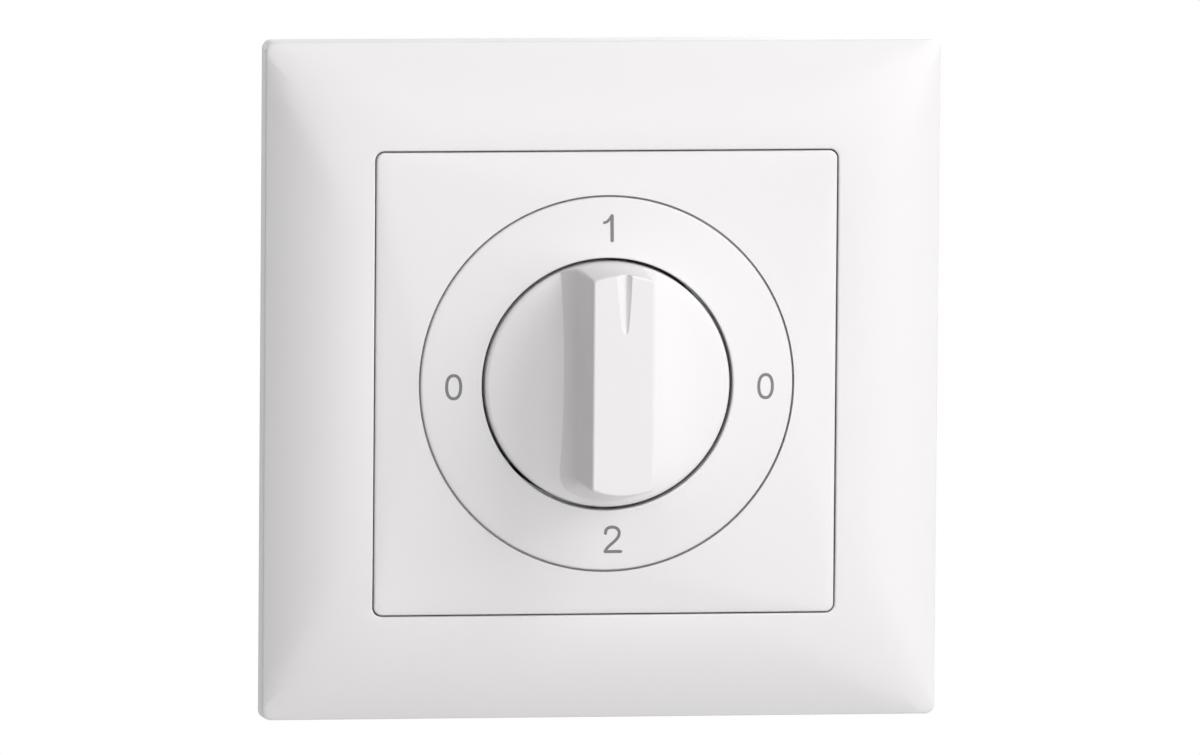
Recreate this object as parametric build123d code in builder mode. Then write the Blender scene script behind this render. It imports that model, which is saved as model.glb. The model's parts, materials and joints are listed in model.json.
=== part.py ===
from build123d import *
from math import acos, asin, atan2, cos, hypot, pi, radians, sin, sqrt, tan
import os

os.makedirs("parts", exist_ok=True)

# One-gang flush rotary switch with the positions 1, 0, 2, 0. Millimetres.
# X runs right, Z runs up and Y runs into the wall. The knob turns about the Y axis.
# A height is measured forward from the wall plane, so a negative height is inside the wall box.

# Cover frame
frame_side = 88.0
frame_edge_height = 3.3
frame_crown_height = 7.35
frame_corner = 1.15
frame_inner_corner = 14.0
frame_corner_growth = 0.65
frame_draft = 2.0
frame_wall = 2.0
frame_edge_round = 0.45
collar_wall = 1.6
ledge_thickness = 1.5
ledge_reach = 1.8
screw_notch = 10.0
screw_notch_height = 3.0
screw_notch_reach = 3.2

# Centre plate
plate_side = 60.0
plate_gap = 0.2
plate_corner = 1.05
plate_edge_height = 7.3
plate_thickness = 2.0
plate_skirt = 1.5
plate_corner_growth = 0.8
plate_rib_height = 1.2
plate_rib_thickness = 1.0
leg_thickness = 1.3
leg_width = 5.0
leg_across = 48.6
leg_spacing = 16.0
leg_barb = 0.6
leg_lead = 2.0
leg_gap = 0.25

# Scale ring
ring_radius = 24.3
ring_gap = 0.12
ring_round = 0.25
ring_thickness = 1.6
ring_land = 0.6
stake_radius = 0.8
stake_head_radius = 1.3
stake_head_height = 0.6
stake_count = 6

# Knob
dome_radius = 207.0
dome_top = 9.6
disc_radius = 16.0
disc_gap = 0.33
disc_round = 0.5
disc_thickness = 1.6
disc_skirt = 1.5
disc_depth = 3.4
bar_width = 8.05
bar_pointer = 15.7
bar_tail = 12.95
bar_end_radius = 10.6
bar_top_height = 23.45
bar_draft = 0.7
bar_round = 0.35
bar_wall = 1.5
bar_rib = 1.0
bar_rib_spacing = 17.0
marker_length = 7.6
marker_width = 2.1
marker_tip_width = 0.5
marker_run_out = 1.0
hub_radius = 5.0
hub_width = 6.2

# Spindle, and what turns with it
spindle_radius = 4.0
spindle_clearance = 0.05
shoulder_height = 5.0
tip_radius = 3.0
tip_flats = 4.0
tip_length = 8.0
tip_clearance = 0.03
flange_radius = 6.0
flange_thickness = 1.2
square_side = 6.0
square_clearance = 0.03
journal_radius = 2.3
journal_length = 4.0
groove_radius = 1.7
knob_clip_thickness = 0.3
knob_clip_width = 3.6
knob_clip_length = 7.0
knob_clip_hook = 3.0
retaining_thickness = 0.8
retaining_radius = 4.0
retaining_mouth = 2.6

# Detent
wheel_radius = 10.0
wheel_thickness = 4.2
wheel_tip_round = 0.5
notch_depth = 1.3
notch_play = 0.25
position_count = 4
detent_strip = 0.45
detent_strip_line = 11.7
detent_nose = 1.3
detent_flank = 40.0
detent_play = 0.05

# Contact cam
cam_hub_radius = 5.5
cam_base_radius = 5.0
cam_lobe_radius = 8.0
cam_lobe_round = 1.6
cam_length = 7.0
cam_front = 11.0
cam_end_length = 1.6

# Mounting plate
mounting_side = 71.0
mounting_corner = 5.0
mounting_thickness = 1.2
box_screw_spacing = 60.0
box_slot_width = 3.8
box_slot_length = 6.4
edge_notch = 1.5

# Housings
housing_side = 40.0
housing_corner = 5.0
front_depth = 9.0
rear_depth = 16.0
boss_radius = 16.0
boss_gap = 0.2
boss_height = 3.0
front_wall = 2.4
bearing_wall = 2.2
bearing_height = 4.6
detent_chamber = 25.2
chamber_corner = 2.0
detent_pocket = 1.4
detent_floor = 1.0
divider_side = 28.0
divider_corner = 1.5
divider_thickness = 1.2
divider_gap = 0.05
divider_hub_gap = 0.8
contact_chamber_width = 26.0
contact_chamber_height = 30.0
rear_wall = 3.0
bearing_depth = 2.0
axial_play = 0.1

# Screws
plate_screw_radius = 1.5
plate_screw_head_radius = 2.8
plate_screw_head_height = 1.7
plate_screw_place = 15.5
plate_screw_length = 7.6
plate_screw_turn = 35.0
housing_screw_radius = 1.2
housing_screw_head_radius = 2.0
housing_screw_head_height = 1.7
housing_screw_place = 17.3
housing_screw_length = 19.0
housing_screw_turn = 20.0
screw_fit = 0.02
screw_clearance = 0.2
screw_end_gap = 0.5
head_clearance = 0.1
driver_slot_width = 0.8
driver_slot_depth = 0.7

# Terminals
terminal_width = 4.5
terminal_height = 6.4
terminal_depth = 14.4
terminal_gap = 0.1
terminal_place = 13.2
wire_radius = 1.6
wire_depth = 9.0
wire_entry_gap = 0.5
wire_funnel_radius = 2.6
wire_funnel_depth = 1.2
terminal_screw_radius = 1.3
terminal_screw_head_radius = 2.3
terminal_screw_head_height = 1.5
terminal_screw_reach = 0.6
terminal_screw_level = 18.5
terminal_screw_turn = 25.0

# Contacts
strip_thickness = 0.8
strip_width = 6.0
strip_front = 11.5
contact_spring_thickness = 0.3
contact_spring_line = 9.6
contact_spring_rise = 10.2
contact_tip_rise = 19.2
contact_spring_length = 22.2
follower_nose = 1.2
follower_flank = 50.0
rail_tab_height = 4.0
contact_tip_radius = 1.6
moving_tip_length = 0.85
cam_play = 0.05


def level(height):
    """The plane at a height in front of the wall, facing away from the wall."""
    return Plane.XZ.offset(height)


def dome_height(radius):
    """The height of the dome that the scale ring and the knob's disc share."""
    return dome_top - dome_radius + sqrt(dome_radius**2 - radius**2)


def rounded_square(side, corner, height):
    """A square face with round corners at a height."""
    with BuildSketch(level(height)) as face:
        RectangleRounded(side, side, corner)
    return face.sketch


def round_face(radius, height, places=((0, 0),)):
    """Round faces at a height."""
    with BuildSketch(level(height)) as faces:
        with Locations(*places):
            Circle(radius)
    return faces.sketch


def driver_slots(plane, places, head_radius, turn):
    """Slots across round screw heads, turned by an angle."""
    with BuildSketch(plane) as slots:
        with Locations(*places):
            Rectangle(2 * head_radius + driver_slot_width, driver_slot_width, rotation=turn)
    return slots.sketch


def square_ring(side, wall, corner, height):
    """A square frame outline with round corners at a height."""
    with BuildSketch(level(height)) as outline:
        RectangleRounded(side, side, corner)
        RectangleRounded(side - 2 * wall, side - 2 * wall, corner, mode=Mode.SUBTRACT)
    return outline.sketch


def save(part, name):
    """Names a finished part and writes its file."""
    part.label = name
    export_step(part, f"parts/{name}.step")


# The frame's front is one arc, level at the opening and falling to the outer edge.
opening_side = plate_side + 2 * plate_gap
front_width = (frame_side - opening_side) / 2
front_drop = frame_crown_height - frame_edge_height
front_radius = (front_width**2 + front_drop**2) / (2 * front_drop)
edge_slope = asin(front_width / front_radius)

# The small round between the frame's outer wall and its front
draft = radians(frame_draft)
edge_turn = pi / 2 - edge_slope - draft
edge_tangent = frame_edge_round * tan(edge_turn / 2)
edge_steps = 3
wall_top = frame_edge_height - edge_tangent * cos(draft)
wall_top_side = frame_side + 2 * edge_tangent * sin(draft)
foot_side = wall_top_side + 2 * wall_top * tan(draft)
rim_share = edge_tangent * cos(edge_slope) / front_width
front_shares = [rim_share, 0.08, 0.2, 0.4, 0.7, 1.0]


def front_height(share):
    """The frame's height at a share of the way from its edge to the opening."""
    out = front_width * (1 - share)
    return frame_crown_height - front_radius + sqrt(front_radius**2 - out**2)


def front_corner(share):
    """The corner radius of the frame's contour at that share."""
    return frame_corner + (frame_inner_corner - frame_corner) * share**frame_corner_growth


def edge_face(step):
    """A slice of the frame at one step round the edge between wall and front."""
    turned = edge_turn * step / edge_steps
    chord = 2 * frame_edge_round * sin(turned / 2)
    return rounded_square(
        wall_top_side - 2 * chord * sin(draft + turned / 2),
        frame_corner + (front_corner(rim_share) - frame_corner) * step / edge_steps,
        wall_top + chord * cos(draft + turned / 2),
    )


# Cover frame: a thin shell with a collar round its opening and a ledge for the plate
collar_side = opening_side + 2 * collar_wall
collar_corner = plate_corner + plate_gap + collar_wall
ledge_top = mounting_thickness + ledge_thickness
cavity_side = frame_side - 2 * frame_wall

with BuildPart() as frame_cavity:
    loft(
        [
            rounded_square(
                cavity_side - 2 * (front_width - frame_wall) * share,
                front_corner(share),
                front_height(share) - frame_wall,
            )
            for share in front_shares
        ]
    )
    cavity_roof = front_height(rim_share) - frame_wall
    extrude(rounded_square(cavity_side, frame_corner, cavity_roof), amount=-frame_edge_height)
    collar_core = rounded_square(collar_side, collar_corner, -frame_edge_height)
    extrude(collar_core, amount=frame_side, mode=Mode.SUBTRACT)

with BuildPart() as cover_frame:
    loft(
        [
            rounded_square(foot_side, frame_corner, 0),
            rounded_square(wall_top_side, frame_corner, wall_top),
        ]
    )
    loft([edge_face(step) for step in range(edge_steps + 1)])
    loft(
        [
            rounded_square(
                frame_side - 2 * front_width * share,
                front_corner(share),
                front_height(share),
            )
            for share in front_shares
        ]
    )
    add(frame_cavity.part, mode=Mode.SUBTRACT)
    opening = rounded_square(opening_side, plate_corner + plate_gap, ledge_top)
    extrude(opening, amount=frame_crown_height, mode=Mode.SUBTRACT)
    ledge_opening = rounded_square(opening_side - 2 * ledge_reach, plate_corner, 0)
    extrude(ledge_opening, amount=frame_crown_height, mode=Mode.SUBTRACT)
    collar_foot = rounded_square(collar_side, collar_corner, 0)
    extrude(collar_foot, amount=mounting_thickness, mode=Mode.SUBTRACT)
    with BuildSketch(level(mounting_thickness)):
        with PolarLocations(opening_side / 2, 4):
            Rectangle(2 * screw_notch_reach, screw_notch)
    extrude(amount=screw_notch_height, mode=Mode.SUBTRACT)
save(cover_frame.part, "cover_frame")

# Centre plate: its contours turn from a square at the edge into the ring's circle.
plate_band = plate_side / 2 - ring_radius
plate_slope = atan2(dome_height(ring_radius) - plate_edge_height, plate_band)
plate_shares = [0.0, 0.08, 0.25, 0.55, 1.1]
plate_straight = 0.2
plate_bottom = plate_edge_height - plate_thickness
recess_radius = ring_radius + ring_gap
ring_bottom = dome_height(ring_radius) - ring_thickness
hole_radius = disc_radius + disc_gap + ring_land
stake_circle = (hole_radius + ring_radius) / 2
leg_inner = leg_across / 2
leg_outer = leg_inner + leg_thickness
rib_inner = recess_radius + ring_gap
rib_outer = hypot(plate_side / 2 - plate_corner, plate_side / 2 - plate_corner)


def plate_face(share):
    """A slice of the plate's front at a share of the way from its edge to the ring."""
    inset = plate_band * share
    corner = plate_corner + (ring_radius - plate_corner) * share**plate_corner_growth
    return rounded_square(
        plate_side - 2 * inset,
        min(corner, plate_side / 2 - inset - plate_straight),
        plate_edge_height + inset * tan(plate_slope),
    )


with BuildPart() as centre_plate:
    extrude(rounded_square(plate_side, plate_corner, plate_bottom), amount=plate_thickness)
    loft([plate_face(share) for share in plate_shares])
    skirt = square_ring(plate_side, plate_skirt, plate_corner, plate_bottom)
    extrude(skirt, amount=ledge_top - plate_bottom)
    with BuildSketch(level(plate_bottom)):
        with PolarLocations((rib_inner + rib_outer) / 2, 4, start_angle=45):
            Rectangle(rib_outer - rib_inner, plate_rib_thickness)
    extrude(amount=-plate_rib_height)
    with BuildSketch(level(mounting_thickness)):
        with PolarLocations(plate_side / 2, 4):
            Rectangle(2 * screw_notch_reach, screw_notch)
    extrude(amount=screw_notch_height, mode=Mode.SUBTRACT)
    extrude(round_face(recess_radius, ring_bottom), amount=plate_side, mode=Mode.SUBTRACT)
    extrude(round_face(hole_radius, 0), amount=plate_side, mode=Mode.SUBTRACT)
    with BuildSketch(level(plate_bottom)):
        with PolarLocations(stake_circle, stake_count):
            Circle(stake_radius + screw_fit)
    extrude(amount=plate_side, mode=Mode.SUBTRACT)
    for side in (-1, 1):
        for rise in (-leg_spacing / 2, leg_spacing / 2):
            with BuildSketch(Plane.XY.offset(rise - leg_width / 2)):
                with BuildLine():
                    Polyline(
                        (side * leg_inner, -plate_bottom),
                        (side * leg_outer, -plate_bottom),
                        (side * leg_outer, 0),
                        (side * (leg_outer + leg_barb), 0),
                        (side * leg_outer, leg_lead),
                        (side * leg_inner, leg_lead),
                        close=True,
                    )
                make_face()
            extrude(amount=leg_width)
save(centre_plate.part, "centre_plate")

# Scale ring: it lies in the plate's recess on the dome and is staked through the plate.
ring_inner = disc_radius + disc_gap
ring_middle = (ring_inner + ring_radius) / 2

with BuildPart() as scale_ring:
    with BuildSketch(Plane.XY) as ring_profile:
        with BuildLine():
            Line((ring_inner, -dome_height(ring_inner)), (ring_inner, -ring_bottom))
            Line((ring_inner, -ring_bottom), (ring_radius, -ring_bottom))
            Line((ring_radius, -ring_bottom), (ring_radius, -dome_height(ring_radius)))
            ThreePointArc(
                (ring_radius, -dome_height(ring_radius)),
                (ring_middle, -dome_height(ring_middle)),
                (ring_inner, -dome_height(ring_inner)),
            )
        make_face()
        fillet(ring_profile.vertices().sort_by(Axis.Y)[:2], radius=ring_round)
    revolve(axis=Axis.Y)
    with BuildSketch(level(ring_bottom)):
        with PolarLocations(stake_circle, stake_count):
            Circle(stake_radius)
    extrude(amount=plate_bottom - ring_bottom)
    with BuildSketch(level(plate_bottom)):
        with PolarLocations(stake_circle, stake_count):
            Circle(stake_head_radius)
    extrude(amount=-stake_head_height)
save(scale_ring.part, "scale_ring")

# Knob: a domed disc and a hollow bar in one moulding
disc_edge = dome_height(disc_radius)
disc_bottom = disc_edge - disc_depth
disc_ceiling = disc_edge - disc_thickness
bar_height = bar_top_height - disc_ceiling
bar_spread = bar_height * tan(radians(bar_draft))
hub_top = shoulder_height + tip_length + 2 * knob_clip_thickness
marker_flare = (marker_width - marker_tip_width) / 2 / marker_length


def bar_face(width, pointer, tail, height):
    """The bar's outline at a height: straight sides and bowed ends."""
    sagitta = bar_end_radius - sqrt(bar_end_radius**2 - width**2 / 4)
    with BuildSketch(level(height)) as face:
        with BuildLine():
            Line((-width / 2, sagitta - tail), (-width / 2, pointer - sagitta))
            ThreePointArc(
                (-width / 2, pointer - sagitta), (0, pointer), (width / 2, pointer - sagitta)
            )
            Line((width / 2, pointer - sagitta), (width / 2, sagitta - tail))
            ThreePointArc((width / 2, sagitta - tail), (0, -tail), (-width / 2, sagitta - tail))
        make_face()
    return face.sketch


def bar_foot(wall):
    """The bar's outline where it meets the disc's underside, or its hollow's inside a wall."""
    spread = bar_spread - wall
    return bar_face(bar_width + 2 * spread, bar_pointer + spread, bar_tail + spread, disc_ceiling)


def tip_face(clip_room, height, grow):
    """The spindle's flatted end at a height, or its bore with room for the clip on one flat."""
    with BuildSketch(level(height)) as face:
        Circle(tip_radius + grow)
        with Locations((clip_room / 2, 0)):
            Rectangle(tip_flats + clip_room, 2 * hub_radius, mode=Mode.INTERSECT)
    return face.sketch


with BuildPart() as knob:
    with BuildSketch(Plane.XY) as disc_profile:
        with BuildLine():
            Polyline(
                (disc_radius, -disc_edge),
                (disc_radius, -disc_bottom),
                (disc_radius - disc_skirt, -disc_bottom),
                (disc_radius - disc_skirt, -disc_ceiling),
                (0, -disc_ceiling),
                (0, -dome_top),
            )
            ThreePointArc(
                (0, -dome_top),
                (disc_radius / 2, -dome_height(disc_radius / 2)),
                (disc_radius, -disc_edge),
            )
        make_face()
        rim = disc_profile.vertices().group_by(Axis.X)[-1]
        fillet(rim.sort_by(Axis.Y)[:1], radius=disc_round)
    revolve(axis=Axis.Y)
    loft([bar_foot(0), bar_face(bar_width, bar_pointer, bar_tail, bar_top_height)])
    fillet(knob.edges().group_by(Axis.Y)[0], radius=bar_round)
    hollow_top = bar_face(
        bar_width - 2 * bar_wall,
        bar_pointer - bar_wall,
        bar_tail - bar_wall,
        bar_top_height - bar_wall,
    )
    loft([bar_foot(bar_wall), hollow_top], mode=Mode.SUBTRACT)
    extrude(round_face(hub_radius, shoulder_height), amount=disc_ceiling - shoulder_height)
    with BuildSketch(level(disc_ceiling)):
        Rectangle(hub_width, 2 * hub_radius)
    extrude(amount=hub_top - disc_ceiling)
    with BuildSketch(level(disc_ceiling)):
        with Locations((0, -bar_rib_spacing / 2), (0, bar_rib_spacing / 2)):
            Rectangle(bar_width - bar_wall, bar_rib)
    extrude(amount=bar_height - bar_wall / 2)
    tip_bore = tip_face(knob_clip_thickness, shoulder_height, tip_clearance)
    extrude(tip_bore, amount=hub_top - shoulder_height, mode=Mode.SUBTRACT)
    with Locations((0, -bar_top_height, bar_pointer - marker_length)):
        Sphere(marker_tip_width / 2, mode=Mode.SUBTRACT)
    with Locations((0, -bar_top_height, bar_pointer - marker_length)):
        Cone(
            marker_tip_width / 2,
            marker_tip_width / 2 + marker_flare * (marker_length + marker_run_out),
            marker_length + marker_run_out,
            align=(Align.CENTER, Align.CENTER, Align.MIN),
            mode=Mode.SUBTRACT,
        )
save(knob.part, "knob")

# Spindle: the knob's seat, the bearing, the thrust flange, the square and the rear journal
inner_face = boss_height - front_wall
flange_front = inner_face - axial_play
flange_back = flange_front - flange_thickness
wheel_back = flange_back - wheel_thickness
cam_back = -cam_front - cam_length
square_end = cam_back - cam_end_length
tip_top = shoulder_height + tip_length

with BuildPart() as spindle:
    extrude(tip_face(0, shoulder_height, 0), amount=tip_length)
    extrude(round_face(spindle_radius, flange_front), amount=shoulder_height - flange_front)
    extrude(round_face(flange_radius, flange_back), amount=flange_thickness)
    with BuildSketch(level(flange_back)):
        Rectangle(square_side, square_side)
    extrude(amount=square_end - flange_back)
    extrude(round_face(journal_radius, square_end), amount=-journal_length)
    with BuildSketch(level(square_end)):
        Circle(journal_radius)
        Circle(groove_radius, mode=Mode.SUBTRACT)
    extrude(amount=-retaining_thickness, mode=Mode.SUBTRACT)
save(spindle.part, "spindle")

# Knob clip: a sprung strip on one flat, hooked over the spindle's end
with BuildPart() as knob_clip:
    with BuildSketch(Plane.XY.offset(-knob_clip_width / 2)):
        with BuildLine():
            Polyline(
                (tip_flats / 2, -(tip_top - knob_clip_length)),
                (tip_flats / 2 + knob_clip_thickness, -(tip_top - knob_clip_length)),
                (tip_flats / 2 + knob_clip_thickness, -(tip_top + knob_clip_thickness)),
                (tip_flats / 2 - knob_clip_hook, -(tip_top + knob_clip_thickness)),
                (tip_flats / 2 - knob_clip_hook, -tip_top),
                (tip_flats / 2, -tip_top),
                close=True,
            )
        make_face()
    extrude(amount=knob_clip_width)
save(knob_clip.part, "knob_clip")

# Detent wheel: one notch for each position
notch_radius = detent_nose + detent_strip / 2 + notch_play
notch_centre = wheel_radius - notch_depth + notch_radius

with BuildPart() as detent_wheel:
    with BuildSketch(level(flange_back)) as wheel_outline:
        Circle(wheel_radius)
        with PolarLocations(notch_centre, position_count):
            Circle(notch_radius, mode=Mode.SUBTRACT)
        fillet(wheel_outline.vertices(), radius=wheel_tip_round)
        Rectangle(
            square_side + 2 * square_clearance,
            square_side + 2 * square_clearance,
            mode=Mode.SUBTRACT,
        )
    extrude(amount=-wheel_thickness)
save(detent_wheel.part, "detent_wheel")

# Cam drum: a hub through the divider, and one lobe that closes a contact at "1" and at "2"
with BuildPart() as cam_drum:
    extrude(round_face(cam_hub_radius, wheel_back), amount=-cam_front - wheel_back)
    with BuildSketch(level(-cam_front)):
        Circle(cam_base_radius)
        with Locations((cam_lobe_round - cam_lobe_radius, 0)):
            Circle(cam_lobe_round)
        make_hull()
    extrude(amount=-cam_length)
    extrude(round_face(cam_base_radius, cam_back), amount=-cam_end_length)
    with BuildSketch(level(wheel_back)):
        Rectangle(square_side + 2 * square_clearance, square_side + 2 * square_clearance)
    extrude(amount=square_end - wheel_back, mode=Mode.SUBTRACT)
save(cam_drum.part, "cam_drum")

# Retaining ring in the spindle's groove
with BuildPart() as retaining_ring:
    with BuildSketch(level(square_end)):
        Circle(retaining_radius)
        Circle(groove_radius + screw_fit, mode=Mode.SUBTRACT)
        with Locations((0, retaining_radius)):
            Rectangle(retaining_mouth, 2 * retaining_radius, mode=Mode.SUBTRACT)
    extrude(amount=-retaining_thickness)
save(retaining_ring.part, "retaining_ring")

# Mounting plate
plate_screw_places = [
    (plate_screw_place, plate_screw_place),
    (-plate_screw_place, -plate_screw_place),
]

with BuildPart() as mounting_plate:
    with BuildSketch(level(0)):
        RectangleRounded(mounting_side, mounting_side, mounting_corner)
        Circle(boss_radius + boss_gap, mode=Mode.SUBTRACT)
        with PolarLocations(box_screw_spacing / 2, 4):
            SlotOverall(box_slot_length, box_slot_width, mode=Mode.SUBTRACT)
        with Locations(*plate_screw_places):
            Circle(plate_screw_radius + screw_clearance, mode=Mode.SUBTRACT)
        for side in (-1, 1):
            with Locations(
                (side * (leg_outer + leg_inner) / 2, -leg_spacing / 2),
                (side * (leg_outer + leg_inner) / 2, leg_spacing / 2),
            ):
                Rectangle(
                    leg_thickness + 2 * leg_gap,
                    leg_width + 2 * leg_gap,
                    mode=Mode.SUBTRACT,
                )
        with PolarLocations(mounting_side / 2, 4):
            Circle(edge_notch, mode=Mode.SUBTRACT)
    extrude(amount=mounting_thickness)
save(mounting_plate.part, "mounting_plate")

# Plate screws
plate_screw_top = level(mounting_thickness + plate_screw_head_height)

with BuildPart() as plate_screws:
    shanks = round_face(plate_screw_radius, mounting_thickness, plate_screw_places)
    extrude(shanks, amount=-plate_screw_length)
    heads = round_face(plate_screw_head_radius, mounting_thickness, plate_screw_places)
    extrude(heads, amount=plate_screw_head_height)
    slots = driver_slots(
        plate_screw_top, plate_screw_places, plate_screw_head_radius, plate_screw_turn
    )
    extrude(slots, amount=-driver_slot_depth, mode=Mode.SUBTRACT)
save(plate_screws.part, "plate_screws")

# Front housing: the boss and bearing in front, the detent chamber behind
housing_screw_places = [(0, housing_screw_place), (0, -housing_screw_place)]
rear_face = -front_depth - rear_depth
housing_screw_end = rear_face + housing_screw_head_height + housing_screw_length
bearing_bore = spindle_radius + spindle_clearance
spring_slot = detent_strip + 2 * detent_play
divider_front = divider_thickness - front_depth

with BuildPart() as front_housing:
    extrude(rounded_square(housing_side, housing_corner, -front_depth), amount=front_depth)
    extrude(round_face(boss_radius, 0), amount=boss_height)
    bearing_rim = round_face(bearing_bore + bearing_wall, boss_height)
    extrude(bearing_rim, amount=bearing_height - boss_height)
    chamber = rounded_square(detent_chamber, chamber_corner, -front_depth)
    extrude(chamber, amount=front_depth + inner_face, mode=Mode.SUBTRACT)
    with BuildSketch(level(-front_depth)):
        with Locations((-detent_strip_line, 0), (detent_strip_line, 0)):
            Rectangle(spring_slot, detent_chamber + 2 * detent_pocket)
    extrude(amount=front_depth - detent_floor, mode=Mode.SUBTRACT)
    divider_seat = rounded_square(divider_side + 2 * divider_gap, divider_corner, -front_depth)
    extrude(divider_seat, amount=divider_thickness, mode=Mode.SUBTRACT)
    extrude(round_face(bearing_bore, 0), amount=bearing_height, mode=Mode.SUBTRACT)
    plate_screw_holes = round_face(plate_screw_radius + screw_fit, 0, plate_screw_places)
    plate_screw_depth = plate_screw_length - mounting_thickness + screw_end_gap
    extrude(plate_screw_holes, amount=-plate_screw_depth, mode=Mode.SUBTRACT)
    housing_screw_holes = round_face(
        housing_screw_radius + screw_fit, -front_depth, housing_screw_places
    )
    housing_screw_depth = housing_screw_end + front_depth + screw_end_gap
    extrude(housing_screw_holes, amount=housing_screw_depth, mode=Mode.SUBTRACT)
save(front_housing.part, "front_housing")

# Divider plate
with BuildPart() as divider_plate:
    extrude(rounded_square(divider_side, divider_corner, -front_depth), amount=divider_thickness)
    hub_hole = round_face(cam_hub_radius + divider_hub_gap, -front_depth)
    extrude(hub_hole, amount=divider_thickness, mode=Mode.SUBTRACT)
save(divider_plate.part, "divider_plate")


def nose_corner(depth, radius, flank):
    """How deep and how far apart a spring's nose starts, given its depth, round and flank angle."""
    deep = depth + radius * (1 / sin(radians(flank)) - 1)
    return deep, deep * tan(radians(flank))


# Detent springs: leaf springs with a nose in the wheel's notches at left and right
nose_line = wheel_radius - notch_depth + detent_play + detent_strip / 2
nose_deep, nose_reach = nose_corner(detent_strip_line - nose_line, detent_nose, detent_flank)
spring_half = detent_chamber / 2 + detent_pocket - detent_play

for name, side in (("detent_spring_left", -1), ("detent_spring_right", 1)):
    with BuildPart() as detent_spring:
        with BuildSketch(level(divider_front)):
            with BuildLine() as centre_line:
                FilletPolyline(
                    (side * detent_strip_line, -spring_half),
                    (side * detent_strip_line, -nose_reach),
                    (side * (detent_strip_line - nose_deep), 0),
                    (side * detent_strip_line, nose_reach),
                    (side * detent_strip_line, spring_half),
                    radius=detent_nose,
                )
            trace(centre_line.line, detent_strip)
        extrude(amount=-detent_floor - divider_front)
    save(detent_spring.part, name)

# Rear housing: the contact chamber, four terminal pockets and the rear bearing
chamber_floor = rear_face + rear_wall
wall_x = contact_chamber_width / 2
block_floor = -front_depth - terminal_depth
block_x = wall_x + terminal_width / 2
terminals = [
    ("terminal_one", -1, 1),
    ("terminal_two", 1, 1),
    ("terminal_feed_left", -1, -1),
    ("terminal_feed_right", 1, -1),
]
terminal_places = [(across * block_x, up * terminal_place) for _, across, up in terminals]
terminal_screw_spots = [
    (terminal_screw_level, terminal_place),
    (terminal_screw_level, -terminal_place),
]
wire_entry = wire_radius + wire_entry_gap

with BuildPart() as rear_housing:
    extrude(rounded_square(housing_side, housing_corner, rear_face), amount=rear_depth)
    with BuildSketch(level(chamber_floor)):
        Rectangle(contact_chamber_width, contact_chamber_height)
    extrude(amount=rear_depth, mode=Mode.SUBTRACT)
    with BuildSketch(level(block_floor)):
        with Locations(*terminal_places):
            Rectangle(terminal_width + 2 * terminal_gap, terminal_height + 2 * terminal_gap)
    extrude(amount=terminal_depth, mode=Mode.SUBTRACT)
    wire_entries = round_face(wire_entry, rear_face, terminal_places)
    extrude(wire_entries, amount=block_floor - rear_face, mode=Mode.SUBTRACT)
    for place in terminal_places:
        funnel_mouth = round_face(wire_funnel_radius, rear_face, [place])
        funnel_throat = round_face(wire_entry, rear_face + wire_funnel_depth, [place])
        loft([funnel_mouth, funnel_throat], mode=Mode.SUBTRACT)
    journal_bore = round_face(journal_radius + spindle_clearance, chamber_floor)
    extrude(journal_bore, amount=-bearing_depth, mode=Mode.SUBTRACT)
    screw_holes = round_face(
        housing_screw_radius + screw_clearance, rear_face, housing_screw_places
    )
    extrude(screw_holes, amount=rear_depth, mode=Mode.SUBTRACT)
    head_holes = round_face(
        housing_screw_head_radius + head_clearance, rear_face, housing_screw_places
    )
    extrude(head_holes, amount=housing_screw_head_height, mode=Mode.SUBTRACT)
    for across in (-1, 1):
        with BuildSketch(Plane.YZ.offset(across * (wall_x + terminal_width))):
            with Locations(*terminal_screw_spots):
                Circle(terminal_screw_head_radius + head_clearance)
        extrude(amount=across * housing_side / 2, mode=Mode.SUBTRACT)
save(rear_housing.part, "rear_housing")

# Housing screws
with BuildPart() as housing_screws:
    head_seat = rear_face + housing_screw_head_height
    shanks = round_face(housing_screw_radius, head_seat, housing_screw_places)
    extrude(shanks, amount=housing_screw_length)
    heads = round_face(housing_screw_head_radius, rear_face, housing_screw_places)
    extrude(heads, amount=housing_screw_head_height)
    slots = driver_slots(
        level(rear_face), housing_screw_places, housing_screw_head_radius, housing_screw_turn
    )
    extrude(slots, amount=driver_slot_depth, mode=Mode.SUBTRACT)
save(housing_screws.part, "housing_screws")

# Terminal blocks
for name, across, up in terminals:
    with BuildPart() as terminal:
        with BuildSketch(level(block_floor)):
            with Locations((across * block_x, up * terminal_place)):
                Rectangle(terminal_width, terminal_height)
        extrude(amount=terminal_depth)
        wire_bore = round_face(
            wire_radius, block_floor, [(across * block_x, up * terminal_place)]
        )
        extrude(wire_bore, amount=wire_depth, mode=Mode.SUBTRACT)
        with BuildSketch(Plane.YZ.offset(across * block_x)):
            with Locations((terminal_screw_level, up * terminal_place)):
                Circle(terminal_screw_radius + screw_fit)
        extrude(amount=across * terminal_width, mode=Mode.SUBTRACT)
    save(terminal.part, name)

# Terminal screws
with BuildPart() as terminal_screws:
    for across in (-1, 1):
        seat = across * (wall_x + terminal_width)
        with BuildSketch(Plane.YZ.offset(seat)):
            with Locations(*terminal_screw_spots):
                Circle(terminal_screw_radius)
        extrude(amount=-across * terminal_screw_reach)
        with BuildSketch(Plane.YZ.offset(seat)):
            with Locations(*terminal_screw_spots):
                Circle(terminal_screw_head_radius)
        extrude(amount=across * terminal_screw_head_height)
        slots = driver_slots(
            Plane.YZ.offset(seat + across * terminal_screw_head_height),
            terminal_screw_spots,
            terminal_screw_head_radius,
            terminal_screw_turn,
        )
        extrude(slots, amount=-across * driver_slot_depth, mode=Mode.SUBTRACT)
save(terminal_screws.part, "terminal_screws")

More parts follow.
